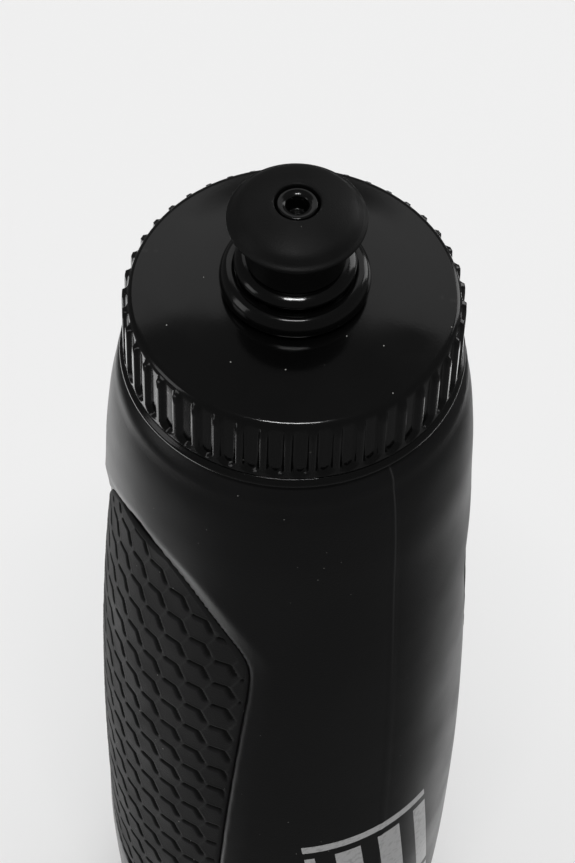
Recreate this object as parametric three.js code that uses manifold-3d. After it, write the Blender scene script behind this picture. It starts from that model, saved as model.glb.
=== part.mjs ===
// A squeeze sports bottle: blow-moulded body with two set-in grip pads, a ribbed screw cap with its
// gasket, and a push-pull drinking nozzle. Millimetres, +Z up, origin at the centre of the base, front at -Y.
import * as THREE from "three";
import { mergeVertices } from "three/addons/utils/BufferGeometryUtils.js";
import Module from "manifold-3d";

const wasm = await Module();
wasm.setup();

// ---- driving sizes ----
const bodyHeight = 209; // base to the ledge under the cap
const shoulderRadius = 35.7;
const bellyRadius = 38.3;
const footRadius = 30;
const bodyWall = 1.5;
const neckRadius = 27; // outside of the neck, at the thread's root
const neckWall = 1.8;
const neckHeight = 13; // above the ledge
const threadPitch = 4;
const threadDepth = 1;
const threadTurns = 1.25;
const threadClearance = 0.4; // crest to root, both threads
const capLift = 0.7; // cap's lower edge above the ledge
const ribCount = 44;
const ribDepth = 0.7;
const capWall = 2.2; // from the cap's bore to the root of its ribs
const capSkirt = 16; // lower edge of the cap to the edge of its dome
const domeRise = 4; // edge of the dome to the spout's seat
const flangeLip = 1.4; // the lower rim stands this far out past the rib roots
const gasketThickness = 1.8;
const seatGap = 0.1; // between pieces that rest on each other
const spoutBore = 5.2;
const spoutWall = 1.3;
const spoutHeight = 11.5; // tube above the seat ring
const nozzleGap = 0.5; // pushed-down nozzle to the seat ring
const seatRingRadius = 13.8;
const seatRingHeight = 4.2;
const slideClearance = 0.3; // slider bore to spout tube
const sliderWall = 1;
const collarRadius = 11.2;
const mouthHoleRadius = 4.1;
const pinClearance = 0.35; // valve pin in the mouth hole
const mouthRadius = 12.65;
const mouthWall = 1.3;
const nozzleHeight = 17.1; // collar's lower edge to the top of the mouthpiece
const padInset = 4.3; // width of the bevel round a pad
const padThickness = 1;
const padGap = 0.3;
const padTop = 184; // upper and lower ends of the two recesses
const padBottom = 38;
const recessDepth = 1.6; // at the upper end of a recess; a quarter of it from its middle down
const roundSegments = 24;
const bodySegments = 60;

// ---- helpers ----
// A closed body turned about Z from [radius, height] points, its radius then changed by shape(r, angle, z).
function turned(profile, segments, shape) {
  const points = profile.map(([r, z]) => new THREE.Vector2(r, z));
  const geometry = new THREE.LatheGeometry(points, segments);
  geometry.rotateX(Math.PI / 2);
  const position = geometry.getAttribute("position");
  for (let i = 0; shape && i < position.count; i++) {
    const x = position.getX(i);
    const y = position.getY(i);
    const r = Math.hypot(x, y);
    const scale = r > 1e-6 ? shape(r, Math.atan2(y, x), position.getZ(i)) / r : 1;
    position.setXY(i, x * scale, y * scale);
  }
  return geometry;
}

function solidOf(geometry) {
  const bare = geometry.clone();
  for (const name of Object.keys(bare.attributes)) {
    if (name !== "position") bare.deleteAttribute(name);
  }
  const merged = mergeVertices(bare, 1e-4);
  return new wasm.Manifold(
    new wasm.Mesh({
      numProp: 3,
      vertProperties: merged.attributes.position.array,
      triVerts: new Uint32Array(merged.index.array),
    }),
  );
}

function geometryOf(solid) {
  const mesh = solid.getMesh();
  const geometry = new THREE.BufferGeometry();
  geometry.setAttribute("position", new THREE.BufferAttribute(mesh.vertProperties, 3));
  geometry.setIndex(new THREE.BufferAttribute(mesh.triVerts, 1));
  return geometry;
}

// The closed loop of a profile: its first point is repeated at the end.
const closed = (profile) => [...profile, profile[0]];

// Straight-line interpolation in a list of [key, value] pairs with rising keys.
function along(table, key) {
  const next = table.findIndex(([k]) => k >= key);
  if (next <= 0) return next === 0 ? table[0][1] : table[table.length - 1][1];
  const [k0, v0] = table[next - 1];
  const [k1, v1] = table[next];
  return v0 + ((v1 - v0) * (key - k0)) / (k1 - k0);
}

// ---- bottle body ----
const ledge = bodyHeight;
const neckTop = ledge + neckHeight;
const outerWall = [
  [0, footRadius],
  [1.5, footRadius + 2.6],
  [5, footRadius + 4.4],
  [20, bellyRadius - 2.6],
  [42, bellyRadius - 1.1],
  [66, bellyRadius - 0.3],
  [bodyHeight * 0.44, bellyRadius],
  [118, bellyRadius - 0.3],
  [145, bellyRadius - 1],
  [bodyHeight - 34, shoulderRadius],
  [bodyHeight - 19, shoulderRadius - 0.7],
  [bodyHeight - 6, shoulderRadius - 2.3],
  [bodyHeight - 1.2, shoulderRadius - 3.5],
  [bodyHeight, shoulderRadius - 4.5],
];
const bodyRadius = (z) => along(outerWall, z);

// Distance in mm inside a pad's recess, where across runs round the body from the recess's middle.
// The outline is an arch above and below two nearly upright sides: every edge is a line through
// [across, in from the end] that falls by slope, and a soft minimum blends them.
const cornerBlend = 2;
const archEdges = [
  { across: 0, down: -1.2, slope: 0.08 },
  { across: 11, down: 2, slope: 0.45 },
  { across: 23, down: 14.5, slope: 1.25 },
];
const sideAtMiddle = 31.2; // half width of the recess at its middle height, and how it grows upwards
const sideTaper = 0.07;
function insideRecess(across, z) {
  const x = Math.abs(across);
  const middle = (padTop + padBottom) / 2;
  const distances = [sideAtMiddle + sideTaper * (z - middle) - x];
  for (const edge of archEdges) {
    const reach = edge.slope * (edge.across - x) - edge.down;
    const length = Math.hypot(1, edge.slope);
    distances.push((padTop - z + reach) / length, (z - padBottom + reach) / length);
  }
  return -cornerBlend * Math.log(distances.reduce((sum, d) => sum + Math.exp(-d / cornerBlend), 0));
}

const padAngles = { left: Math.PI, right: 0 };
const recessAt = (z) => along([[120, recessDepth / 4], [padTop, recessDepth]], z);

// Depth pressed in at a point of the body, 0 outside both recesses.
function pressedIn(angle, z, extra) {
  const across = Math.min(...Object.values(padAngles).map((middle) => {
    const turn = Math.atan2(Math.sin(angle - middle), Math.cos(angle - middle));
    return Math.abs(turn) * bodyRadius(z);
  }));
  const share = THREE.MathUtils.smoothstep(insideRecess(across, z) + (extra ? 2 : 0), 0, padInset);
  return share * (recessAt(z) + extra);
}

// A closed patch over one recess between two radii, its edge inset from the recess's outline.
function padPatch(middle, inset, innerRadius, outerRadius) {
  const rows = 14;
  const columns = 10;
  const low = padBottom + inset + 2.5;
  const high = padTop - inset - 2.5;
  const halfWidth = (z) => {
    let [inside, outside] = [0, 60];
    for (let i = 0; i < 30; i++) {
      const half = (inside + outside) / 2;
      if (insideRecess(half, z) > inset) inside = half;
      else outside = half;
    }
    return Math.max(inside, 2);
  };
  const vertices = [];
  for (const radius of [outerRadius, innerRadius]) {
    for (let i = 0; i <= rows; i++) {
      const z = THREE.MathUtils.lerp(low, high, 0.5 - 0.5 * Math.cos((Math.PI * i) / rows));
      for (let j = 0; j <= columns; j++) {
        const across = halfWidth(z) * ((2 * j) / columns - 1);
        const angle = middle + across / bodyRadius(z);
        const r = radius(z);
        vertices.push(r * Math.cos(angle), r * Math.sin(angle), z);
      }
    }
  }
  const stride = columns + 1;
  const layer = (rows + 1) * stride;
  const faces = [];
  const quad = (a, b, c, d) => faces.push(a, b, c, a, c, d);
  for (let i = 0; i < rows; i++) {
    for (let j = 0; j < columns; j++) {
      const a = i * stride + j;
      quad(a, a + 1, a + stride + 1, a + stride);
      quad(layer + a, layer + a + stride, layer + a + stride + 1, layer + a + 1);
    }
    const left = i * stride;
    const right = left + columns;
    quad(left, left + stride, layer + left + stride, layer + left);
    quad(right, layer + right, layer + right + stride, right + stride);
  }
  for (let j = 0; j < columns; j++) {
    const top = rows * stride + j;
    quad(j, layer + j, layer + j + 1, j + 1);
    quad(top, top + 1, layer + top + 1, layer + top);
  }
  const geometry = new THREE.BufferGeometry();
  geometry.setAttribute("position", new THREE.Float32BufferAttribute(vertices, 3));
  geometry.setIndex(faces);
  return geometry;
}

// A helical ridge about Z: right-handed, starting at height zStart, its crest at crestRadius.
function threadRidge(rootRadius, crestRadius, zStart) {
  const steps = Math.round(threadTurns * roundSegments);
  const halfBase = 0.22 * threadPitch;
  const halfCrest = 0.11 * threadPitch;
  const vertices = [];
  const faces = [];
  for (let i = 0; i <= steps; i++) {
    const angle = (2 * Math.PI * threadTurns * i) / steps;
    const z = zStart + (threadPitch * angle) / (2 * Math.PI);
    const section = [
      [rootRadius, -halfBase],
      [crestRadius, -halfCrest],
      [crestRadius, halfCrest],
      [rootRadius, halfBase],
    ];
    for (const [r, dz] of section) vertices.push(r * Math.cos(angle), r * Math.sin(angle), z + dz);
  }
  const outward = crestRadius > rootRadius;
  const triangle = (a, b, c) => faces.push(...(outward ? [a, b, c] : [a, c, b]));
  for (let i = 0; i < steps; i++) {
    for (let k = 0; k < 4; k++) {
      const a = 4 * i + k;
      const b = 4 * i + ((k + 1) % 4);
      triangle(a, a + 4, b + 4);
      triangle(a, b + 4, b);
    }
  }
  const end = 4 * steps;
  triangle(0, 1, 2);
  triangle(0, 2, 3);
  triangle(end, end + 2, end + 1);
  triangle(end, end + 3, end + 2);
  const geometry = new THREE.BufferGeometry();
  geometry.setAttribute("position", new THREE.Float32BufferAttribute(vertices, 3));
  geometry.setIndex(faces);
  return geometry;
}

const threadEmbed = 0.5; // how far a ridge's root is sunk into its wall
const neckThreadStart = ledge + 4;

// The wall's own points with more rows added over the recesses, so that their bevels are followed.
const recessRows = 15;
function wallRows() {
  const rows = outerWall.filter(([z]) => z < padBottom - 2 || z > padTop + 2);
  for (let i = 0; i <= recessRows; i++) {
    const z = THREE.MathUtils.lerp(padBottom - 2, padTop + 2, i / recessRows);
    rows.push([z, bodyRadius(z)]);
  }
  return rows.sort((low, high) => low[0] - high[0]);
}

function bottleBody() {
  const ledgeWall = bodyWall + 0.3;
  const rows = wallRows();
  const inner = rows.filter(([z]) => z > 6 && z < ledge - 1).map(([z, r]) => [r - bodyWall, z]);
  const profile = closed([
    [footRadius - 8, 0],
    ...rows.map(([z, r]) => [r, z]),
    [neckRadius + 0.6, ledge + 0.3],
    [neckRadius, ledge + 0.9],
    [neckRadius, neckTop],
    [neckRadius - neckWall, neckTop],
    [neckRadius - neckWall, ledge - ledgeWall + 0.6],
    [neckRadius, ledge - ledgeWall - 0.6],
    ...inner.reverse(),
    [footRadius + 2, 4.5],
    [footRadius - 5, bodyWall + 1.2],
    [footRadius - 10, bodyWall + 3.4],
    [0.01, bodyWall + 4.8],
    [0.01, 4.6],
    [footRadius - 11, 3],
  ]);
  const shell = turned(profile, bodySegments, (r, angle, z) => {
    if (r < footRadius || z < padBottom - 20 || z > ledge - 3) return r;
    const isInner = r < bodyRadius(z) - bodyWall / 2;
    return r - pressedIn(angle, z, isInner ? padThickness + padGap : 0);
  });
  let body = solidOf(shell);
  for (const middle of Object.values(padAngles)) {
    const pocket = padPatch(
      middle,
      padInset - padGap,
      (z) => bodyRadius(z) - recessAt(z) - padThickness - padGap,
      (z) => bodyRadius(z) + 3,
    );
    body = body.subtract(solidOf(pocket));
  }
  const thread = threadRidge(neckRadius - threadEmbed, neckRadius + threadDepth, neckThreadStart);
  return geometryOf(body.add(solidOf(thread)));
}

function gripPad(side) {
  return padPatch(
    padAngles[side],
    padInset,
    (z) => bodyRadius(z) - recessAt(z) - padThickness,
    (z) => bodyRadius(z) - recessAt(z),
  );
}

// ---- cap ----
const capBottom = ledge + capLift;
const capBore = neckRadius + threadDepth + threadClearance;
const ribRoot = capBore + capWall;
const domeEdge = capBottom + capSkirt;
const spoutSeat = domeEdge + domeRise;
const ceiling = neckTop + gasketThickness + 2 * seatGap;
const spoutTubeRadius = spoutBore + spoutWall;
const spoutHole = spoutTubeRadius + 1.8;

function capShell() {
  const ribBottom = capBottom + 2.6;
  const ribTop = domeEdge - 1.4;
  const domeWall = 1.9;
  const pedestal = seatRingRadius - 1.4;
  const profile = closed([
    [capBore, capBottom],
    [ribRoot + flangeLip - 0.3, capBottom],
    [ribRoot + flangeLip, capBottom + 1.7],
    [ribRoot, ribBottom],
    [ribRoot, ribTop],
    [ribRoot - 1.6, domeEdge + 0.7],
    [ribRoot - 8, domeEdge + 0.44 * domeRise],
    [pedestal, domeEdge + 0.8 * domeRise],
    [pedestal, spoutSeat],
    [spoutHole, spoutSeat],
    [spoutHole, domeEdge + 0.8 * domeRise - domeWall],
    [capBore - 5.5, ceiling + 1.2],
    [capBore - 5.5, ceiling],
    [capBore, ceiling],
  ]);
  const shell = turned(profile, 2 * ribCount, (r, angle, z) => {
    const onRib = Math.round((angle * ribCount) / Math.PI) % 2 === 0;
    const onSkirt = r > ribRoot - 0.1 && z > ribBottom - 0.1 && z < ribTop + 0.1;
    return onRib && onSkirt ? r + ribDepth : r;
  });
  const crest = neckRadius + threadClearance;
  const thread = threadRidge(capBore + threadEmbed, crest, neckThreadStart - threadPitch / 2);
  return geometryOf(solidOf(shell).add(solidOf(thread)));
}

function capGasket() {
  const low = neckTop + seatGap;
  const high = low + gasketThickness;
  const inner = neckRadius - neckWall - 1.2;
  const outer = capBore - threadClearance;
  return turned(closed([[inner, low], [outer, low], [outer, high], [inner, high]]), 2 * roundSegments);
}

// ---- spout, valve pin and nozzle ----
const ringBottom = spoutSeat + seatGap;
const ringTop = ringBottom + seatRingHeight;
const tubeTop = ringTop + spoutHeight - 1;
const collarBottom = ringTop + nozzleGap;
const sliderBore = spoutTubeRadius + slideClearance;
const sliderRadius = sliderBore + sliderWall;
const mouthTop = collarBottom + nozzleHeight;
const sliderTop = mouthTop - 2.4;
const pinTop = mouthTop - 0.4;
const pinFoot = domeEdge + 1;

function spoutInsert() {
  const barrel = spoutHole - 0.2;
  const underCap = domeEdge + 0.8 * domeRise - 2.1;
  return turned(
    closed([
      [spoutBore, underCap - 2],
      [barrel - 0.6, underCap - 2],
      [barrel + 0.6, underCap - 0.5],
      [barrel, underCap],
      [barrel, ringBottom],
      [seatRingRadius - 0.4, ringBottom],
      [seatRingRadius, ringBottom + 0.8],
      [seatRingRadius, ringTop - 1.8],
      [seatRingRadius - 0.7, ringTop - 0.6],
      [seatRingRadius - 1.7, ringTop],
      [seatRingRadius - 2.7, ringTop],
      [seatRingRadius - 3.5, ringTop - 1],
      [spoutTubeRadius, ringTop - 1],
      [spoutTubeRadius, tubeTop - 0.5],
      [spoutTubeRadius - 0.4, tubeTop],
      [spoutBore, tubeTop],
    ]),
    roundSegments,
  );
}

function valvePin() {
  const stem = 2.5;
  const head = mouthHoleRadius - pinClearance;
  const hubRadius = spoutBore - 0.1;
  const hubHeight = 2;
  const post = turned(
    [
      [0, pinFoot],
      [stem, pinFoot],
      [stem, pinTop - 7],
      [head, pinTop - 4.5],
      [head, pinTop - 0.4],
      [head - 0.4, pinTop],
      [1.9, pinTop],
      [1.7, pinTop - 3.5],
      [0, pinTop - 3.8],
    ],
    roundSegments,
  );
  const hub = turned(
    closed([
      [hubRadius - 0.9, pinFoot],
      [hubRadius, pinFoot],
      [hubRadius, pinFoot + hubHeight],
      [hubRadius - 0.9, pinFoot + hubHeight],
    ]),
    roundSegments,
  );
  let pin = solidOf(post).add(solidOf(hub));
  for (let i = 0; i < 3; i++) {
    const spoke = new THREE.BoxGeometry(hubRadius - 0.4, 1.2, hubHeight);
    spoke.translate((hubRadius - 0.4) / 2, 0, pinFoot + hubHeight / 2);
    spoke.rotateZ((2 * Math.PI * i) / 3);
    pin = pin.add(solidOf(spoke));
  }
  return geometryOf(pin);
}

function nozzleSlider() {
  return turned(
    closed([
      [sliderBore, collarBottom],
      [collarRadius - 0.3, collarBottom],
      [collarRadius, collarBottom + 0.8],
      [collarRadius - 0.6, collarBottom + 1.5],
      [sliderRadius + mouthWall + 0.2, collarBottom + 2.5],
      [sliderRadius, collarBottom + 2.6],
      [sliderRadius, sliderTop],
      [mouthHoleRadius, sliderTop],
      [mouthHoleRadius, sliderTop - 1.6],
      [sliderBore, sliderTop - 3.2],
    ]),
    roundSegments,
  );
}

function mouthpiece() {
  const inner = sliderRadius + seatGap;
  const lip = mouthTop - 4.5;
  return turned(
    closed([
      [inner, collarBottom + 2.7],
      [inner + mouthWall, collarBottom + 2.7],
      [inner + mouthWall - 0.1, lip - 2.6],
      [mouthRadius - 0.8, lip - 1.1],
      [mouthRadius, lip],
      [mouthRadius - 1.5, lip + 1.9],
      [mouthRadius - 4.6, mouthTop - 1],
      [mouthHoleRadius + 0.6, mouthTop],
      [mouthHoleRadius, mouthTop - 0.3],
      [mouthHoleRadius, sliderTop + seatGap],
      [inner, sliderTop + seatGap],
    ]),
    2 * roundSegments,
  );
}

// ---- assembly ----
const finishes = {
  bodyPlastic: new THREE.MeshStandardMaterial({ color: 0x171717, roughness: 0.38, metalness: 0 }),
  capPlastic: new THREE.MeshStandardMaterial({ color: 0x0c0c0c, roughness: 0.12, metalness: 0 }),
  gripRubber: new THREE.MeshStandardMaterial({ color: 0x1d1d1d, roughness: 0.6, metalness: 0 }),
  mouthRubber: new THREE.MeshStandardMaterial({ color: 0x1a1a1a, roughness: 0.55, metalness: 0 }),
  sealSilicone: new THREE.MeshStandardMaterial({ color: 0xb8b8b4, roughness: 0.5, metalness: 0 }),
};

const bottle = new THREE.Group();
function addPiece(name, geometry, finish) {
  const mesh = new THREE.Mesh(geometry, finish);
  mesh.name = name;
  bottle.add(mesh);
}

addPiece("bottle_body", bottleBody(), finishes.bodyPlastic);
for (const side of Object.keys(padAngles)) addPiece(`grip_pad_${side}`, gripPad(side), finishes.gripRubber);
addPiece("cap_gasket", capGasket(), finishes.sealSilicone);
addPiece("cap_shell", capShell(), finishes.capPlastic);
addPiece("spout_insert", spoutInsert(), finishes.capPlastic);
addPiece("valve_pin", valvePin(), finishes.capPlastic);
addPiece("nozzle_slider", nozzleSlider(), finishes.capPlastic);
addPiece("mouthpiece", mouthpiece(), finishes.mouthRubber);

export default bottle;
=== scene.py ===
import math
import bpy
import numpy as np
from mathutils import Matrix, Vector


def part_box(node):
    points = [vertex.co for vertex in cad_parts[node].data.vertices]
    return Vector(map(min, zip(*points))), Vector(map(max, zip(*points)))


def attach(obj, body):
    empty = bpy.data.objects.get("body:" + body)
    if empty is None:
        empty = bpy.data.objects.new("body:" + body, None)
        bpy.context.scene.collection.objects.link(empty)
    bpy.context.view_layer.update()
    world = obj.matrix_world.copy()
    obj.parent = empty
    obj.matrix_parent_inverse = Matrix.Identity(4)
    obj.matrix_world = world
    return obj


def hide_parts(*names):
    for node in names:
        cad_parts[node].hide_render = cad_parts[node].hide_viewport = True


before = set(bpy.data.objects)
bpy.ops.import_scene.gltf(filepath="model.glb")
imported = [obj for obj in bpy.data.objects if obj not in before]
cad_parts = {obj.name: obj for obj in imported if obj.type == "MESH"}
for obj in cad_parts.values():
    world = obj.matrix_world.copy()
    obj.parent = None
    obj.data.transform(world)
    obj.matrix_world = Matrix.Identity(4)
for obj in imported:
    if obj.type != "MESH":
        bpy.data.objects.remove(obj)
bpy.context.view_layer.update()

mm = 0.001


# highest and lowest point of a node, in mm
def nodeTop(name):
    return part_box(name)[1][2] / mm


def nodeBottom(name):
    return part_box(name)[0][2] / mm


# mesh from an (n, 3) array in mm, an (m, 4) array of quads and a short list of other faces
def makePiece(name, points, quads, others=(), attributes=None):
    mesh = bpy.data.meshes.new(name)
    mesh.from_pydata((np.asarray(points) * mm).tolist(), [], quads.tolist() + [list(f) for f in others])
    for key, values in (attributes or {}).items():
        layer = mesh.attributes.new(key, "FLOAT", "POINT")
        layer.data.foreach_set("value", np.asarray(values, dtype=np.float32).ravel())
    mesh.polygons.foreach_set("use_smooth", np.ones(len(mesh.polygons), dtype=bool))
    mesh.update()
    piece = bpy.data.objects.new(name, mesh)
    bpy.context.scene.collection.objects.link(piece)
    return piece


# quads between the rows of a grid: quad(i, j) = (i,j) (i,j+1) (i+1,j+1) (i+1,j), wrapped where asked
def gridQuads(rows, columns, wrapRows=False, wrapColumns=True, start=0):
    i, j = np.meshgrid(np.arange(rows if wrapRows else rows - 1),
                       np.arange(columns if wrapColumns else columns - 1), indexing="ij")
    up, along = (i + 1) % rows, (j + 1) % columns
    corners = [i * columns + j, i * columns + along, up * columns + along, up * columns + j]
    return np.stack(corners, axis=-1).reshape(-1, 4) + start


# each corner of a (r, z, fillet) list replaced by an arc: c(t) = (1-t)^2 a + 2t(1-t) corner + t^2 b,
# where a and b lie one fillet away along its two sides, never past half of either
def rounded(corners, closed=True, arcPoints=7, step=1.2):
    count = len(corners)
    path = []
    for k, (r, z, fillet) in enumerate(corners):
        corner = np.array([r, z], dtype=float)
        if not closed and k in (0, count - 1):
            path.append(corner[None])
            continue
        before = np.array(corners[k - 1][:2], dtype=float) - corner
        after = np.array(corners[(k + 1) % count][:2], dtype=float) - corner
        sides = [side / np.linalg.norm(side) * min(fillet, np.linalg.norm(side) * 0.49)
                 for side in (before, after)]
        t = np.linspace(0, 1, arcPoints)[:, None]
        bend = (1 - t) ** 2 * (corner + sides[0]) + 2 * t * (1 - t) * corner
        path.append(bend + t ** 2 * (corner + sides[1]))
    path = np.concatenate(path)
    ends = np.roll(path, -1, axis=0) if closed else path[1:]
    # long straight stretches get points of their own, one each step mm
    pieces = []
    for a, b in zip(path, ends):
        parts = max(1, int(np.linalg.norm(b - a) / step))
        pieces.append(a + (b - a) * (np.arange(parts) / parts)[:, None])
    return np.concatenate(pieces + ([] if closed else [path[-1:]]))


# profile (r, z) turned about Z: p(i, a) = (R cos a, R sin a, z_i) with R = shape(r_i, a, z_i).
# A closed profile wraps round; an open one starts and ends on the axis, in one pole point each.
def turned(name, profile, segments, shape=None, closed=True, extra=None):
    angles = np.arange(segments) / segments * 2 * math.pi
    inner = profile if closed else profile[1:-1]
    r, a = np.meshgrid(inner[:, 0], angles, indexing="ij")
    z = np.repeat(inner[:, 1:2], segments, axis=1)
    if shape:
        r = shape(r, a, z)
    points = np.stack([r * np.cos(a), r * np.sin(a), z], axis=-1).reshape(-1, 3)
    quads = gridQuads(len(inner), segments, wrapRows=closed)
    others = []
    if not closed:
        low, high = len(points), len(points) + 1
        poles = [[0, 0, profile[0][1]], [0, 0, profile[-1][1]]]
        points = np.concatenate([points, poles])
        last = (len(inner) - 1) * segments
        others = [(low, (j + 1) % segments, j) for j in range(segments)]
        others += [(high, last + j, last + (j + 1) % segments) for j in range(segments)]
    if extra:
        for more, faces in extra:
            quads = np.concatenate([quads, faces + len(points)])
            points = np.concatenate([points, more])
    return makePiece(name, points, quads, others)


# smooth 0 to 1 step: 3s^2 - 2s^3 with s = (x - a)/(b - a) held in 0..1
def smooth(x, a, b):
    s = np.clip((x - a) / (b - a), 0, 1)
    return s * s * (3 - 2 * s)


# value at key of a smooth curve through (key, value) pairs: cubic Hermite, slope = central difference
def through(table, key):
    k, v = np.array(table, dtype=float).T
    slope = np.gradient(v, k)
    i = np.clip(np.searchsorted(k, key) - 1, 0, len(k) - 2)
    width = k[i + 1] - k[i]
    t = np.clip((key - k[i]) / width, 0, 1)
    return ((2 * t ** 3 - 3 * t ** 2 + 1) * v[i] + (t ** 3 - 2 * t ** 2 + t) * width * slope[i]
            + (3 * t ** 2 - 2 * t ** 3) * v[i + 1] + (t ** 3 - t ** 2) * width * slope[i + 1])


# helical ridge height: depth * clip((halfBase - |z - z0 - pitch*turn|) / flank), tapered at its ends
def helix(angle, z, start, values):
    height = np.zeros_like(z)
    for lap in range(2):
        turn = (angle % (2 * math.pi)) / (2 * math.pi) + lap
        away = np.abs(z - start - values["pitch"] * turn)
        ramp = np.clip((values["halfBase"] - away) / values["flank"], 0, 1)
        ends = smooth(turn, 0, 0.05) * smooth(values["turns"] - turn, 0, 0.05)
        height = np.maximum(height, ramp * ends)
    return height * values["depth"]


dustValues = dict(share=0.55, colour=(0.55, 0.55, 0.52), spread=7.3, chosen=0.8)


# node helpers for one material tree
class NodeTree:
    def __init__(self, name):
        self.material = bpy.data.materials.new(name)
        self.material.use_nodes = True
        self.nodes = self.material.node_tree.nodes
        self.links = self.material.node_tree.links
        self.shader = self.nodes["Principled BSDF"]
        self.place = self.nodes.new("ShaderNodeTexCoord").outputs["Object"]

    def put(self, socket, value):
        if isinstance(value, bpy.types.NodeSocket):
            self.links.new(value, socket)
        else:
            socket.default_value = value

    def maths(self, operation, a, b=0.0, c=0.0, clamp=False):
        node = self.nodes.new("ShaderNodeMath")
        node.operation = operation
        node.use_clamp = clamp
        for socket, value in zip(node.inputs, (a, b, c)):
            self.put(socket, value)
        return node.outputs[0]

    def noise(self, scale, detail=3.0, stretch=(1, 1, 1)):
        scaled = self.nodes.new("ShaderNodeMapping")
        self.put(scaled.inputs["Vector"], self.place)
        scaled.inputs["Scale"].default_value = stretch
        node = self.nodes.new("ShaderNodeTexNoise")
        self.put(node.inputs["Vector"], scaled.outputs[0])
        node.inputs["Scale"].default_value = scale
        node.inputs["Detail"].default_value = detail
        return node.outputs["Fac"]

    def between(self, value, low, high, newLow=0.0, newHigh=1.0):
        node = self.nodes.new("ShaderNodeMapRange")
        self.put(node.inputs["Value"], value)
        for key, number in (("From Min", low), ("From Max", high), ("To Min", newLow),
                            ("To Max", newHigh)):
            self.put(node.inputs[key], number)
        return node.outputs["Result"]

    def mix(self, factor, a, b):
        node = self.nodes.new("ShaderNodeMix")
        node.data_type = "RGBA"
        self.put(node.inputs["Factor"], factor)
        self.put(node.inputs["A"], (*a, 1) if isinstance(a, tuple) else a)
        self.put(node.inputs["B"], (*b, 1) if isinstance(b, tuple) else b)
        return node.outputs["Result"]

    def specks(self, scale, size):
        node = self.nodes.new("ShaderNodeTexVoronoi")
        self.put(node.inputs["Vector"], self.place)
        node.inputs["Scale"].default_value = scale
        small = self.maths("LESS_THAN", node.outputs["Distance"], size)
        spread = self.maths("MULTIPLY", self.channel(node.outputs["Color"]), dustValues["spread"])
        chosen = self.maths("GREATER_THAN", self.maths("FRACT", spread), dustValues["chosen"])
        return self.maths("MULTIPLY", small, chosen)

    def channel(self, colour):
        node = self.nodes.new("ShaderNodeSeparateColor")
        self.put(node.inputs[0], colour)
        return node.outputs[0]

    def bump(self, height, strength, distance, under=None):
        node = self.nodes.new("ShaderNodeBump")
        self.put(node.inputs["Height"], height)
        node.inputs["Strength"].default_value = strength
        node.inputs["Distance"].default_value = distance
        if under is not None:
            self.put(node.inputs["Normal"], under)
        return node.outputs[0]


# moulded plastic or rubber: slow colour drift, fine grain, a long-wave unevenness, worn edges, dust
def moulded(name, values, finish=None):
    tree = NodeTree(name)
    drift = tree.between(tree.noise(values["driftScale"]), 0.3, 0.7)
    colour = tree.mix(drift, values["dark"], values["light"])
    roughness = tree.between(tree.noise(values["smudgeScale"], 4.0), 0.3, 0.7, values["roughLow"],
                             values["roughHigh"])
    edges = tree.nodes.new("ShaderNodeNewGeometry").outputs["Pointiness"]
    worn = tree.between(edges, 0.53, 0.6, 0.0, values["wear"])
    colour = tree.mix(worn, colour, values["wornColour"])
    if finish:
        colour, roughness = finish(tree, colour, roughness)
    dust = tree.specks(values["dustScale"], values["dustSize"])
    colour = tree.mix(tree.maths("MULTIPLY", dust, dustValues["share"]), colour, dustValues["colour"])
    tree.put(tree.shader.inputs["Base Color"], colour)
    tree.put(tree.shader.inputs["Roughness"], roughness)
    tree.shader.inputs["Specular IOR Level"].default_value = values["specular"]
    waves = tree.bump(tree.noise(values["waveScale"], 1.0, values["waveStretch"]), values["wave"], 0.004)
    grain = tree.bump(tree.noise(values["grainScale"], 2.0), values["grain"], 0.0002, waves)
    tree.put(tree.shader.inputs["Normal"], grain)
    return tree.material


# gives a piece its material and body, and hides the CAD node it stands in for
def finishPiece(piece, material, bodyName, node):
    piece.data.materials.append(material)
    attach(piece, bodyName)
    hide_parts(node)


# body and grip pads; sizes are in mm
bodyValues = dict(foot=30, wall=1.5, neck=27, neckWall=1.8, neckHeight=13, segments=312, wallRows=176,
                  seamWidth=0.22, seamHeight=0.09)
threadValues = dict(pitch=4, depth=1, turns=1.25, halfBase=0.88, flank=0.44)
recessValues = dict(top=184, bottom=38, deepFrom=120, shallow=0.4, deep=1.6, bevel=4.95, inset=5.1,
                    padSeat=1.3, blend=2.0, side=31.2, taper=0.07,
                    edges=((0, -1.2, 0.08), (11, 2, 0.45), (23, 13.7, 1.25)))
padValues = dict(rows=430, columns=160, backStep=10, thickness=1, pitch=7.5, spacing=5.8,
                 stroke=((-1.5, 3.0), (1.0, 3.0), (2.35, 0.3)), grooveWidth=1.3, grooveDepth=0.45,
                 lineWidth=0.22, lineHeight=0.07, border=1.1, rimDrop=0.45, rimWidth=0.35,
                 beadHeight=0.06, sink=0.03)
neckTop = nodeTop("bottle_body")
ledge = neckTop - bodyValues["neckHeight"]
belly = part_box("bottle_body")[1][1] / mm
wallTable = [(0, 30), (1.5, 32.6), (5, 34.4), (20, 35.7), (42, 37.2), (66, 38.0), (92, 38.3),
             (118, 38.0), (145, 37.3), (175, 35.7), (190, 35), (203, 33.4), (207.8, 32.2), (209, 31.2)]
wallTable = [(z * ledge / 209, r * (belly - 0.12) / 38.3) for z, r in wallTable]


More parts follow.
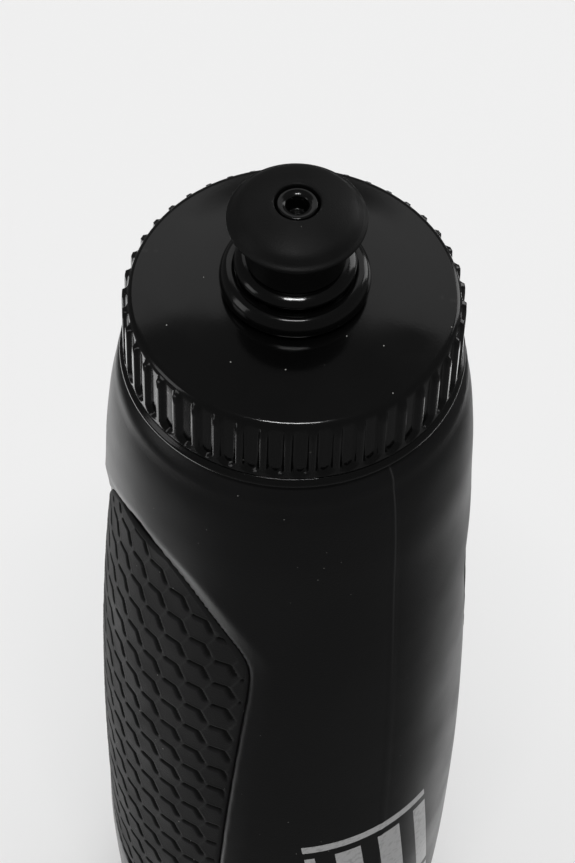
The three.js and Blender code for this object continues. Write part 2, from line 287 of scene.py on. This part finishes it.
# distance in mm inside a recess: -b ln(sum exp(-d_k / b)) over its sides and the lines of its two arches
def insideRecess(across, z):
    v = recessValues
    x = np.abs(across)
    total = np.exp(-(v["side"] + v["taper"] * (z - (v["top"] + v["bottom"]) / 2) - x) / v["blend"])
    for start, down, slope in v["edges"]:
        reach = slope * (start - x) - down
        length = math.hypot(1, slope)
        total = total + np.exp(-(v["top"] - z + reach) / length / v["blend"])
        total = total + np.exp(-(z - v["bottom"] + reach) / length / v["blend"])
    return -v["blend"] * np.log(total)


# depth of a recess along its height: shallow up to deepFrom, then straight to deep at its top
def recessDepth(z):
    v = recessValues
    return np.interp(z, [v["deepFrom"], v["top"]], [v["shallow"], v["deep"]])


# distance round the body from the middle of the nearer recess: R * (angle folded to -90..90 degrees)
def aroundFrom(angle, z):
    folded = (angle + math.pi / 2) % math.pi - math.pi / 2
    return folded * through(wallTable, z)


# outside: r - depth * ramp(inside / bevel), then deeper still under the pad, plus the seam at front
# and back. The neck gets its thread, and the inside follows the outside one wall further in.
def bodyShape(r, angle, z):
    v = bodyValues
    inside = insideRecess(aroundFrom(angle, z), z)
    ramp = inside / recessValues["bevel"]
    ramp = np.clip(ramp - 0.03 * np.sin(2 * math.pi * np.clip(ramp, 0, 1)), 0, 1)
    under = smooth(inside, recessValues["inset"] - 0.9, recessValues["inset"] + 0.6)
    under = under * recessValues["padSeat"]
    onWall = (z > 20) & (z < ledge - 3) & (r > v["foot"])
    outer = r > through(wallTable, z) - v["wall"] / 2
    grown = smooth(inside, -2, 2.3) * (recessDepth(z) + recessValues["padSeat"])
    pressed = np.where(onWall, np.where(outer, ramp * recessDepth(z) + under, grown), 0)
    fromSeam = np.abs((angle % math.pi) - math.pi / 2) * r
    seam = v["seamHeight"] * np.exp(-(fromSeam / v["seamWidth"]) ** 2)
    seam = seam * (z > 6) * (z < ledge - 0.5) * outer
    onNeck = (z > ledge + 1.5) & (r > v["neck"] - 0.3)
    thread = np.where(onNeck, helix(angle, z, ledge + 4, threadValues), 0)
    return r - pressed + seam * (inside < -3) + thread


# half section from the middle of the base up the wall and neck and down the inside, turned about Z
def buildBody():
    v = bodyValues
    neck, bore = v["neck"], v["neck"] - v["neckWall"]
    rows = np.linspace(0.5, ledge - 0.6, v["wallRows"])
    outside = np.stack([through(wallTable, rows), rows], axis=-1)
    base = rounded([(0, 4.6, 0), (v["foot"] - 11, 3, 4), (v["foot"] - 7.5, 0, 1.5),
                    (v["foot"] + 0.6, 0, 0.4), (outside[0][0], outside[0][1], 0)], closed=False,
                    step=3)[:-1]
    neckRows = np.linspace(ledge + 1.6, neckTop - 0.8, 40)
    shoulder = rounded([(outside[-1][0], outside[-1][1], 0), (31.0, ledge, 1.2),
                        (neck + 0.6, ledge + 0.25, 0.6), (neck, ledge + 1.4, 0.3),
                        (neck, ledge + 1.6, 0)], closed=False, step=3)[1:-1]
    lip = rounded([(neck, neckTop - 0.8, 0), (neck, neckTop, 0.4), (bore, neckTop, 0.5),
                   (bore, ledge - 1.2, 0.5), (neck, ledge - 2.4, 1), (30.7, ledge - 1.25, 0.5),
                   (31.8, ledge - 6, 0)], closed=False, step=4)[1:-1]
    inner = np.linspace(ledge - 6, 7, 34)
    inside = np.stack([through(wallTable, inner) - v["wall"], inner], axis=-1)
    floor = rounded([(inside[-1][0], 7, 0), (v["foot"] + 2, 4.5, 1.5), (v["foot"] - 5, 2.7, 2),
                     (v["foot"] - 10, 4.9, 3), (0, 6.3, 0)], closed=False, step=4)[1:]
    upright = np.stack([np.full(40, float(neck)), neckRows], axis=-1)
    profile = np.concatenate([base, outside, shoulder, upright, lip, inside, floor])
    return turned("squeezeBody", profile, v["segments"], bodyShape, closed=False)


# half the width of a pad at height z, by halving the range of across where the distance inside is inset
def padHalfWidth(z, inset):
    low, high = np.zeros_like(z), np.full_like(z, 60.0)
    for _ in range(30):
        middle = (low + high) / 2
        isIn = insideRecess(middle, z) > inset
        low, high = np.where(isIn, middle, low), np.where(isIn, high, middle)
    return np.maximum(low, 1.2)


# scales in offset columns. With d the way from the nearest centre in a grid squeezed to be regular, the
# distance to a side is apothem - n.d, and every side gets a fine line. The groove is a bent stroke along
# the top and the upper front side: its distance is the least of |d - a - t (b - a)| over its segments.
def scalePattern(front, z):
    v = padValues
    side = v["spacing"] / 1.5
    apothem = side * math.sqrt(3) / 2
    sides = ((0, 1), (0, -1), (0.866, 0.5), (-0.866, 0.5), (-0.866, -0.5), (0.866, -0.5))
    squeeze = 2 * apothem / v["pitch"]
    column = np.round(front / v["spacing"])
    best = None
    for shift in (-1, 0, 1):
        centreAcross = (column + shift) * v["spacing"]
        offset = ((column + shift) % 2) * v["pitch"] / 2
        centreUp = np.round((z - offset) / v["pitch"]) * v["pitch"] + offset
        dx, dz = front - centreAcross, z - centreUp
        away = np.hypot(dx, dz * squeeze)
        if best is None:
            best = (away, dx, dz)
        else:
            nearer = away < best[0]
            best = [np.where(nearer, new, old) for new, old in zip((away, dx, dz), best)]
    _, dx, dz = best
    toStroke = np.full_like(dx, 9.0)
    for (ax, az), (bx, bz) in zip(v["stroke"][:-1], v["stroke"][1:]):
        length = math.hypot(bx - ax, bz - az)
        t = np.clip(((dx - ax) * (bx - ax) + (dz - az) * (bz - az)) / length ** 2, 0, 1)
        toStroke = np.minimum(toStroke, np.hypot(dx - ax - t * (bx - ax), dz - az - t * (bz - az)))
    groove = 1 - smooth(toStroke, v["grooveWidth"] * 0.34, v["grooveWidth"] * 0.6)
    dz = dz * squeeze
    others = [apothem - (nx * dx + nz * dz) for nx, nz in sides]
    line = np.exp(-(np.minimum.reduce(others) / v["lineWidth"]) ** 2) * (1 - groove)
    return groove, line


# pad surface: p(across, z) at radius R(z) - depth + pattern, rolled off at its rim.
# front says which way round the body its scales point.
def buildPad(name, middle, front):
    v = padValues
    inset = recessValues["inset"]
    low, high = recessValues["bottom"] + inset + 2.5, recessValues["top"] - inset - 2.5
    share = np.linspace(0, 1, v["rows"])
    zRow = low + (high - low) * (0.15 * (0.5 - 0.5 * np.cos(math.pi * share)) + 0.85 * share)
    u = np.linspace(-1, 1, v["columns"] + 1)
    across = padHalfWidth(zRow, inset)[:, None] * u[None]
    z = np.repeat(zRow[:, None], len(u), axis=1)
    edge = np.minimum(insideRecess(across, z) - inset, np.minimum(z - low, high - z))
    groove, line = scalePattern(across * front, z)
    field = smooth(edge, v["border"] - 0.35, v["border"])
    groove, line = groove * field, line * field
    rim = v["rimDrop"] * np.exp(-np.maximum(edge, 0) / v["rimWidth"])
    lift = -v["grooveDepth"] * groove + v["lineHeight"] * line - rim
    lift = lift - v["sink"] + v["beadHeight"] * np.exp(-((edge - v["border"] + 0.35) / 0.3) ** 2)
    radius = through(wallTable, z)
    angle = middle + across / radius
    outer = radius - recessDepth(z) + lift
    back = (radius - recessDepth(z) - v["thickness"])[:, ::v["backStep"]]
    backAngle = angle[:, ::v["backStep"]]
    frontPoints = np.stack([outer * np.cos(angle), outer * np.sin(angle), z], axis=-1).reshape(-1, 3)
    backPoints = np.stack([back * np.cos(backAngle), back * np.sin(backAngle), z[:, ::v["backStep"]]],
                          axis=-1)
    rows, columns, few = v["rows"], len(u), back.shape[1]
    size = rows * columns
    face = gridQuads(rows, columns, wrapColumns=False)
    rear = gridQuads(rows, few, wrapColumns=False, start=size)[:, ::-1]
    i = np.arange(rows - 1)
    left = np.stack([i * columns, (i + 1) * columns, size + (i + 1) * few, size + i * few], axis=-1)
    right = np.stack([i * columns + columns - 1, size + i * few + few - 1, size + (i + 1) * few + few - 1,
                      (i + 1) * columns + columns - 1], axis=-1)
    ends = []
    for k in range(few - 1):
        run = np.arange(k * v["backStep"], (k + 1) * v["backStep"] + 1)
        ends.append([*run[::-1], size + k, size + k + 1])
        topRun = run + (rows - 1) * columns
        ends.append([*topRun, size + (rows - 1) * few + k + 1, size + (rows - 1) * few + k])
    points = np.concatenate([frontPoints, backPoints.reshape(-1, 3)])
    pattern = np.concatenate([groove.ravel(), np.zeros(rows * few)])
    fine = np.concatenate([line.ravel(), np.zeros(rows * few)])
    return makePiece(name, points, np.concatenate([face, rear, left, right]), ends,
                     {"groove": pattern, "line": fine})


# plain printed bars at the front, low down: no lettering, three slanted bars between two thin rules; also
# a painted highlight along the mould seam
markValues = dict(colour=(0.5, 0.5, 0.5), bottom=0.046, top=0.089, halfWidth=0.0165,
                  paintedSeamHighlightColour=(0.035, 0.035, 0.035), seamWidth=0.00028, seamEnd=0.150, paintedSeamHighlightShare=0.8,
                  slant=0.35, shift=0.18, reach=0.9, barCount=1.67, barShare=0.42, barHalf=0.38,
                  ruleAt=0.47, ruleHalf=0.03, patchScale=900.0)


# a bar where fract(barCount * slanted) > barShare, with slanted = x / halfWidth + slant * up
def printedMarkAndSeamHighlight(tree, colour, roughness):
    v = markValues
    split = tree.nodes.new("ShaderNodeSeparateXYZ")
    tree.put(split.inputs[0], tree.place)
    x, y, z = split.outputs
    size = v["top"] - v["bottom"]
    up = tree.maths("DIVIDE", tree.maths("SUBTRACT", z, v["bottom"]), size)
    inHeight = tree.maths("MULTIPLY", tree.maths("GREATER_THAN", up, 0.0),
                          tree.maths("LESS_THAN", up, 1.0))
    slanted = tree.maths("ADD", tree.maths("DIVIDE", x, v["halfWidth"]),
                         tree.maths("MULTIPLY", up, v["slant"]))
    fromCentre = tree.maths("ABSOLUTE", tree.maths("SUBTRACT", slanted, v["shift"]))
    inWidth = tree.maths("LESS_THAN", fromCentre, v["reach"])
    along = tree.maths("FRACT", tree.maths("MULTIPLY", slanted, v["barCount"]))
    bars = tree.maths("GREATER_THAN", along, v["barShare"])
    fromMiddle = tree.maths("ABSOLUTE", tree.maths("SUBTRACT", up, 0.5))
    fromRule = tree.maths("ABSOLUTE", tree.maths("SUBTRACT", fromMiddle, v["ruleAt"]))
    rule = tree.maths("LESS_THAN", fromRule, v["ruleHalf"])
    gap = tree.maths("LESS_THAN", fromMiddle, v["barHalf"])
    mask = tree.maths("MAXIMUM", tree.maths("MULTIPLY", bars, gap), rule)
    for part in (inHeight, inWidth, tree.maths("LESS_THAN", y, 0.0)):
        mask = tree.maths("MULTIPLY", mask, part)
    patchy = tree.between(tree.noise(v["patchScale"], 2.0), 0.3, 0.5, 0.75, 1.0)
    mask = tree.maths("MULTIPLY", mask, patchy)
    # painted highlight: the mould seam's hair line is painted lighter, as if it catches the light, and
    # fades downwards
    seam = tree.between(tree.maths("ABSOLUTE", x), 0.0, v["seamWidth"], 1.0, 0.0)
    seam = tree.maths("MULTIPLY", seam, tree.between(z, v["seamEnd"] - 0.02, v["seamEnd"] + 0.03))
    colour = tree.mix(tree.maths("MULTIPLY", seam, v["paintedSeamHighlightShare"]), colour, v["paintedSeamHighlightColour"])
    return tree.mix(mask, colour, v["colour"]), roughness


# the groove colour is painted shade, standing in for the shadow inside the grooves
patternValues = dict(lineColour=(0.07, 0.07, 0.07), lineShare=0.2,
                     paintedGrooveShadeColour=(0.0015, 0.0015, 0.0015), paintedGrooveShadeShare=0.95, grooveRough=0.2)


# scales: painted shade darkens the grooves, which are also rougher; a little lighter on the fine raised
# lines
def scaleColoursAndGrooveShade(tree, colour, roughness):
    v = patternValues
    groove = tree.nodes.new("ShaderNodeAttribute")
    groove.attribute_name = "groove"
    line = tree.nodes.new("ShaderNodeAttribute")
    line.attribute_name = "line"
    colour = tree.mix(tree.maths("MULTIPLY", line.outputs["Fac"], v["lineShare"]), colour,
                      v["lineColour"])
    # painted shade: the grooves are mixed almost to black
    colour = tree.mix(tree.maths("MULTIPLY", groove.outputs["Fac"], v["paintedGrooveShadeShare"]), colour,
                      v["paintedGrooveShadeColour"])
    return colour, tree.maths("ADD", roughness,
                              tree.maths("MULTIPLY", groove.outputs["Fac"], v["grooveRough"]))


bodyFinish = dict(dark=(0.0035, 0.0035, 0.0037), light=(0.006, 0.006, 0.0063), driftScale=30.0,
                  smudgeScale=60.0, roughLow=0.36, roughHigh=0.46, wear=0.12,
                  wornColour=(0.04, 0.04, 0.04), dustScale=520.0, dustSize=0.05, specular=0.40,
                  waveScale=26.0, waveStretch=(1, 1, 0.35), wave=0.14, grainScale=2600.0, grain=0.16)
gripFinish = dict(dark=(0.009, 0.009, 0.0092), light=(0.014, 0.014, 0.0143), driftScale=45.0,
                  smudgeScale=90.0, roughLow=0.55, roughHigh=0.68, wear=0.15,
                  wornColour=(0.08, 0.08, 0.08), dustScale=380.0, dustSize=0.05, specular=0.34,
                  waveScale=20.0, waveStretch=(1, 1, 1), wave=0.02, grainScale=3200.0, grain=0.35)

bodyMaterial = moulded("bodySatin", bodyFinish, printedMarkAndSeamHighlight)
finishPiece(buildBody(), bodyMaterial, "bottle", "bottle_body")
gripMaterial = moulded("gripRubber", gripFinish, scaleColoursAndGrooveShade)
padSides = (("gripPadLeft", "grip_pad_left", math.pi, 1), ("gripPadRight", "grip_pad_right", 0.0, -1))
for padName, node, padAngle, front in padSides:
    finishPiece(buildPad(padName, padAngle, front), gripMaterial, "bottle", node)
print("body and grip pads built")

# cap and gasket
capValues = dict(ribs=44, perRib=14, root=30.55, tip=31.5, lip=32.2, bore=28.4, fluteHalf=1.62,
                 fluteEdge=0.4, fluteBottom=2.8, phase=5.0)
gasketValues = dict(inner=24.1, outer=27.9, fillet=0.4)
capBottom = nodeBottom("cap_shell")
capTop = nodeTop("cap_shell")


# skirt: r + (tip - root) * rise(z) * (1 - flute), where a flute is 1 within half(z) of its middle and
# half(z) = w sqrt(1 - ((c - z) / w)^2) below its centre c, which gives it a round lower end
def capShape(r, angle, z):
    v = capValues
    spacing = 2 * math.pi / v["ribs"]
    fromRib = ((angle - math.radians(v["phase"])) / spacing + 0.5) % 1 - 0.5
    fromFlute = (0.5 - np.abs(fromRib)) * spacing * v["tip"]
    centre = capBottom + v["fluteBottom"] + v["fluteHalf"]
    below = np.clip((centre - z) / v["fluteHalf"], 0, 1)
    half = v["fluteHalf"] * np.sqrt(1 - below ** 2) * (z > centre - v["fluteHalf"])
    flute = 1 - smooth(fromFlute, half - v["fluteEdge"], half + 0.1)
    rise = smooth(z, capBottom + 1.6, capBottom + 2.2)
    rise = rise * (1 - smooth(z, capBottom + 14.7, capBottom + 15.7))
    skirt = r > v["root"] - 0.9
    inside = (r < v["bore"] + 0.2) & (r > v["bore"] - 0.1) & (z < capBottom + 11)
    thread = np.where(inside, helix(angle, z, ledge + 2, threadValues), 0)
    return r + np.where(skirt, (v["tip"] - v["root"]) * rise * (1 - flute), 0) - thread


# half section: lower rim, skirt, dome, ceiling and bore, turned about Z with capShape
def buildCap():
    v = capValues
    edge = capBottom + 16
    ceiling = capBottom + 14.3
    skirtRows = np.linspace(capBottom + 1.9, capBottom + 13.2, 46)
    lower = rounded([(v["bore"], capBottom, 0.3), (v["lip"] - 0.15, capBottom, 0.35),
                     (v["lip"], capBottom + 1.1, 0.5), (v["root"] + 0.75, capBottom + 1.8, 0.3),
                     (v["root"], capBottom + 1.9, 0)], closed=False, arcPoints=5)[:-1]
    skirt = np.stack([np.full(46, v["root"]), skirtRows], axis=-1)
    shoulder = rounded([(v["root"], capBottom + 13.2, 0), (v["root"], edge + 0.5, 3.0),
                        (27.8, edge + 1.0, 1.6), (20, edge + 2.6, 6), (12.6, edge + 3.35, 0.6),
                        (11.9, capTop, 0.5), (8.3, capTop, 0.2), (8.3, edge + 1.3, 0.2),
                        (22.9, ceiling + 1.2, 2), (22.9, ceiling, 0.3), (v["bore"], ceiling, 0.3),
                        (v["bore"], capBottom + 11, 0)], closed=False, arcPoints=13, step=0.9)[1:-1]
    innerRows = np.linspace(capBottom + 10.9, capBottom + 0.5, 30)
    bore = np.stack([np.full(30, v["bore"]), innerRows], axis=-1)
    profile = np.concatenate([lower[1:], skirt, shoulder, bore])
    return turned("screwCap", profile, v["ribs"] * v["perRib"], capShape)


capFinish = dict(dark=(0.0015, 0.0015, 0.0015), light=(0.0028, 0.0028, 0.0028), driftScale=40.0,
                 smudgeScale=110.0, roughLow=0.10, roughHigh=0.17, wear=0.10,
                 wornColour=(0.05, 0.05, 0.05), dustScale=400.0, dustSize=0.05, specular=0.5,
                 waveScale=45.0, waveStretch=(1, 1, 1), wave=0.03, grainScale=2400.0, grain=0.03)
sealFinish = dict(dark=(0.42, 0.42, 0.40), light=(0.55, 0.55, 0.52), driftScale=60.0, smudgeScale=90.0,
                  roughLow=0.4, roughHigh=0.55, wear=0.1, wornColour=(0.7, 0.7, 0.68), dustScale=500.0,
                  dustSize=0.04, specular=0.4, waveScale=40.0, waveStretch=(1, 1, 1), wave=0.03,
                  grainScale=2000.0, grain=0.15)
capMaterial = moulded("capGloss", capFinish)


finishPiece(buildCap(), capMaterial, "cap", "cap_shell")
gasketLow, gasketHigh = nodeBottom("cap_gasket"), nodeTop("cap_gasket")
gasketInner, gasketOuter, gasketFillet = (gasketValues[key] for key in ("inner", "outer", "fillet"))
gasketProfile = rounded([(gasketInner, gasketLow, gasketFillet),
                         (gasketOuter, gasketLow, gasketFillet),
                         (gasketOuter, gasketHigh, gasketFillet),
                         (gasketInner, gasketHigh, gasketFillet)])
finishPiece(turned("capGasket", gasketProfile, 160), moulded("sealSilicone", sealFinish), "seal",
            "cap_gasket")
print("cap and gasket built")

# spout insert, valve pin, nozzle slider and mouthpiece
spoutValues = dict(bore=5.2, tube=6.5, ring=13.8, barrel=8.1, segments=160)
pinValues = dict(stem=2.5, head=3.75, hole=2.0, hub=5.1, hubHeight=2, spokeWidth=1.2)
nozzleValues = dict(bore=6.8, sleeve=7.8, collar=11.2, hole=4.1, neck=9.2, lip=12.65)
ringLow = capTop + 0.1
tubeTop = nodeTop("spout_insert")
spoutLow = nodeBottom("spout_insert")
ringHigh = ringLow + 4.2


# half section of the ring and its tube, turned about Z
def buildSpout():
    v = spoutValues
    profile = rounded([(v["bore"], spoutLow, 0.2), (v["barrel"] - 0.6, spoutLow, 0.2),
                       (v["barrel"] + 0.5, spoutLow + 1.5, 0.2), (v["barrel"], spoutLow + 2, 0.2),
                       (v["barrel"], ringLow, 0.2), (v["ring"] - 0.5, ringLow, 0.3),
                       (v["ring"], ringLow + 0.6, 0.4), (v["ring"], ringLow + 2.3, 1.0),
                       (v["ring"] - 0.75, ringHigh - 0.5, 0.8), (v["ring"] - 1.7, ringHigh, 0.8),
                       (v["ring"] - 2.7, ringHigh - 0.1, 0.5), (v["ring"] - 3.5, ringHigh - 1, 0.4),
                       (v["tube"], ringHigh - 1, 0.3), (v["tube"], tubeTop - 0.5, 0.3),
                       (v["tube"] - 0.4, tubeTop, 0.3), (v["bore"], tubeTop, 0.2)], step=0.7)
    return turned("spoutInsert", profile, v["segments"])


# one spoke: a box with rounded edges, its cross-section |y/a|^4 + |z/b|^4 = 1, from radius 1.5 to the hub
def spokeShell(turn, low, values):
    t = np.arange(24) / 24 * 2 * math.pi
    y = values["spokeWidth"] / 2 * np.sign(np.cos(t)) * np.abs(np.cos(t)) ** 0.5
    z = low + values["hubHeight"] / 2 * (1 + np.sign(np.sin(t)) * np.abs(np.sin(t)) ** 0.5)
    x = np.array([1.5, 1.5, 3.0, values["hub"] - 0.5, values["hub"] - 0.5])
    size = np.array([0.01, 1, 1, 1, 0.01])[:, None]
    middle = low + values["hubHeight"] / 2
    gx = np.repeat(x[:, None], 24, axis=1)
    gy, gz = y[None] * size, middle + (z[None] - middle) * size
    across = gx * math.cos(turn) - gy * math.sin(turn)
    along = gx * math.sin(turn) + gy * math.cos(turn)
    points = np.stack([across, along, gz], axis=-1)
    return points.reshape(-1, 3), gridQuads(5, 24, wrapRows=True)


# plug and stem turned about Z, a turned hub, and three spokes a third of a turn apart
def buildPin():
    v = pinValues
    foot, top = nodeBottom("valve_pin"), nodeTop("valve_pin")
    post = rounded([(0, foot, 0), (v["stem"], foot, 0.3), (v["stem"], top - 7, 1.0),
                    (v["head"], top - 4.5, 0.8), (v["head"], top - 0.05, 0.6), (2.9, top, 0.5),
                    (v["hole"], top - 0.5, 0.4), (1.8, top - 3.5, 0.4), (0, top - 3.8, 0)],
                    closed=False, step=0.5)
    hub = rounded([(v["hub"] - 0.9, foot, 0.2), (v["hub"], foot, 0.2),
                   (v["hub"], foot + v["hubHeight"], 0.2), (v["hub"] - 0.9, foot + v["hubHeight"], 0.2)])
    angles = np.arange(96) / 96 * 2 * math.pi
    ring = np.stack([hub[:, :1] * np.cos(angles), hub[:, :1] * np.sin(angles),
                     np.repeat(hub[:, 1:], 96, axis=1)], axis=-1)
    shells = [(ring.reshape(-1, 3), gridQuads(len(hub), 96, wrapRows=True))]
    shells += [spokeShell(k * 2 * math.pi / 3, foot, v) for k in range(3)]
    return turned("valvePin", post, 96, closed=False, extra=shells)


# half section of the sleeve and its collar, turned about Z
def buildSlider():
    v = nozzleValues
    low, high = nodeBottom("nozzle_slider"), nodeTop("nozzle_slider")
    profile = rounded([(v["bore"], low, 0.2), (v["collar"] - 0.3, low, 0.25),
                       (v["collar"], low + 0.9, 0.5), (v["collar"] - 0.5, low + 1.8, 0.8),
                       (v["neck"] + 0.2, low + 2.5, 0.5), (v["sleeve"], low + 2.6, 0.05),
                       (v["sleeve"], high, 0.2), (v["hole"], high, 0.1), (v["hole"], high - 1.6, 0.2),
                       (v["bore"], high - 3.2, 0.2)], step=0.7)
    return turned("nozzleSlider", profile, 160)


# half section of the soft head, lip and skirt, turned about Z
def buildMouthpiece():
    v = nozzleValues
    low, high = nodeBottom("mouthpiece"), nodeTop("mouthpiece")
    lip, seat = high - 4.5, nodeTop("nozzle_slider") + 0.1
    profile = rounded([(v["sleeve"] + 0.1, low, 0.1), (v["neck"], low, 0.2),
                       (v["neck"] - 0.1, lip - 2.8, 2.2), (v["lip"] - 1.1, lip - 0.9, 1.0),
                       (v["lip"] - 0.05, lip - 0.35, 0.35), (v["lip"], lip + 0.25, 0.35),
                       (v["lip"] - 0.75, lip + 0.75, 0.3), (v["lip"] - 2.2, lip + 2.5, 1.6),
                       (v["lip"] - 5.0, high - 0.75, 2.2), (v["hole"] + 0.7, high, 0.9),
                       (v["hole"], high - 0.2, 0.5), (v["hole"], seat, 0.05),
                       (v["sleeve"] + 0.1, seat, 0.1)], step=0.5, arcPoints=9)
    return turned("softMouthpiece", profile, 192)


mouthFinish = dict(dark=(0.004, 0.004, 0.004), light=(0.007, 0.007, 0.007), driftScale=70.0,
                   smudgeScale=140.0, roughLow=0.42, roughHigh=0.54, wear=0.25,
                   wornColour=(0.06, 0.06, 0.06), dustScale=520.0, dustSize=0.05, specular=0.16,
                   waveScale=60.0, waveStretch=(1, 1, 1), wave=0.03, grainScale=3600.0, grain=0.22)
finishPiece(buildSpout(), capMaterial, "cap", "spout_insert")
finishPiece(buildPin(), capMaterial, "cap", "valve_pin")
finishPiece(buildSlider(), capMaterial, "nozzle", "nozzle_slider")
finishPiece(buildMouthpiece(), moulded("mouthRubber", mouthFinish), "nozzle", "mouthpiece")
print("spout and nozzle built")

# floor, lights in watts, and camera in metres
lightValues = dict(world=0.10, worldSeen=0.80, fill=67.0, top=2.9, front=6.0, side=1.6, rim=2.6,
                   glow=9.0, floor=(0.52, 0.52, 0.52), floorGlow=0.32)
cameraValues = dict(place=(-0.2194, -0.3069, 0.6930), forward=(0.3456, 0.4846, -0.8036), roll=1.89,
                    lens=137.66)


# flat square grid p(x, y) = (x, y, just under 0), of paper that glows a little
def buildFloor():
    side = np.linspace(-3000, 3000, 9)
    x, y = np.meshgrid(side, side, indexing="ij")
    points = np.stack([x, y, np.full_like(x, -0.05)], axis=-1).reshape(-1, 3)
    floor = makePiece("paleFloor", points, gridQuads(9, 9, wrapColumns=False)[:, ::-1])
    tree = NodeTree("floorPaper")
    shade = tree.mix(tree.between(tree.noise(3.0, 2.0), 0.3, 0.7), lightValues["floor"],
                     (0.53, 0.53, 0.53))
    tree.put(tree.shader.inputs["Base Color"], shade)
    tree.shader.inputs["Roughness"].default_value = 0.9
    tree.shader.inputs["Specular IOR Level"].default_value = 0.1
    tree.shader.inputs["Emission Color"].default_value = (1, 1, 1, 1)
    tree.shader.inputs["Emission Strength"].default_value = lightValues["floorGlow"]
    floor.data.materials.append(tree.material)
    floor.visible_glossy = False


# seen False keeps a light out of reflections
def addLight(name, place, target, size, power, seen=True):
    light = bpy.data.lights.new(name, "AREA")
    light.shape = "RECTANGLE"
    light.size, light.size_y = size
    light.energy = power
    lamp = bpy.data.objects.new(name, light)
    lamp.location = place
    lamp.visible_glossy = seen
    lamp.rotation_euler = (Vector(target) - Vector(place)).to_track_quat("-Z", "Y").to_euler()
    bpy.context.scene.collection.objects.link(lamp)


buildFloor()
aim = (0, 0, 0.13)
addLight("roomFill", (0.3, 0.4, 2.6), aim, (3.4, 3.4), lightValues["fill"], seen=False)
addLight("backWindow", (0.70, 0.97, 1.35), aim, (2.4, 0.8), lightValues["top"])
addLight("lowGlow", (0.15, 0.55, -0.9), aim, (1.8, 1.2), lightValues["glow"])
addLight("frontStrip", (-0.30, -0.42, 1.6), aim, (0.5, 0.1), lightValues["front"])
addLight("sideWindow", (-1.3, 0.5, 0.5), aim, (0.5, 0.9), lightValues["side"])
addLight("rightWindow", (1.3, 0.1, 0.5), aim, (0.5, 0.9), lightValues["rim"])
world = bpy.data.worlds.new("softRoom")
world.use_nodes = True
world.node_tree.nodes["Background"].inputs["Color"].default_value = (1.0, 1.0, 1.0, 1)
# the room looks as pale as the floor to the camera, and stays dim in reflections and as light
seenBy = world.node_tree.nodes.new("ShaderNodeLightPath")
strength = world.node_tree.nodes.new("ShaderNodeMapRange")
strength.inputs["To Min"].default_value = lightValues["world"]
strength.inputs["To Max"].default_value = lightValues["worldSeen"]
world.node_tree.links.new(seenBy.outputs["Is Camera Ray"], strength.inputs["Value"])
world.node_tree.links.new(strength.outputs["Result"],
                          world.node_tree.nodes["Background"].inputs["Strength"])
bpy.context.scene.world = world

camera = bpy.data.objects.new("camera", bpy.data.cameras.new("camera"))
camera.data.lens = cameraValues["lens"]
camera.data.sensor_width = 36
camera.data.clip_start = 0.01
forward = Vector(cameraValues["forward"]).normalized()
right = forward.cross(Vector((0, 0, 1))).normalized()
up = right.cross(forward)
roll = math.radians(cameraValues["roll"])
turnedRight = right * math.cos(roll) + up * math.sin(roll)
turnedUp = up * math.cos(roll) - right * math.sin(roll)
axes = Matrix((turnedRight, turnedUp, -forward)).transposed()
camera.matrix_world = Matrix.Translation(Vector(cameraValues["place"])) @ axes.to_4x4()
bpy.context.scene.collection.objects.link(camera)
bpy.context.scene.camera = camera
bpy.context.scene.view_settings.view_transform = "Standard"
print("floor, light and camera placed")
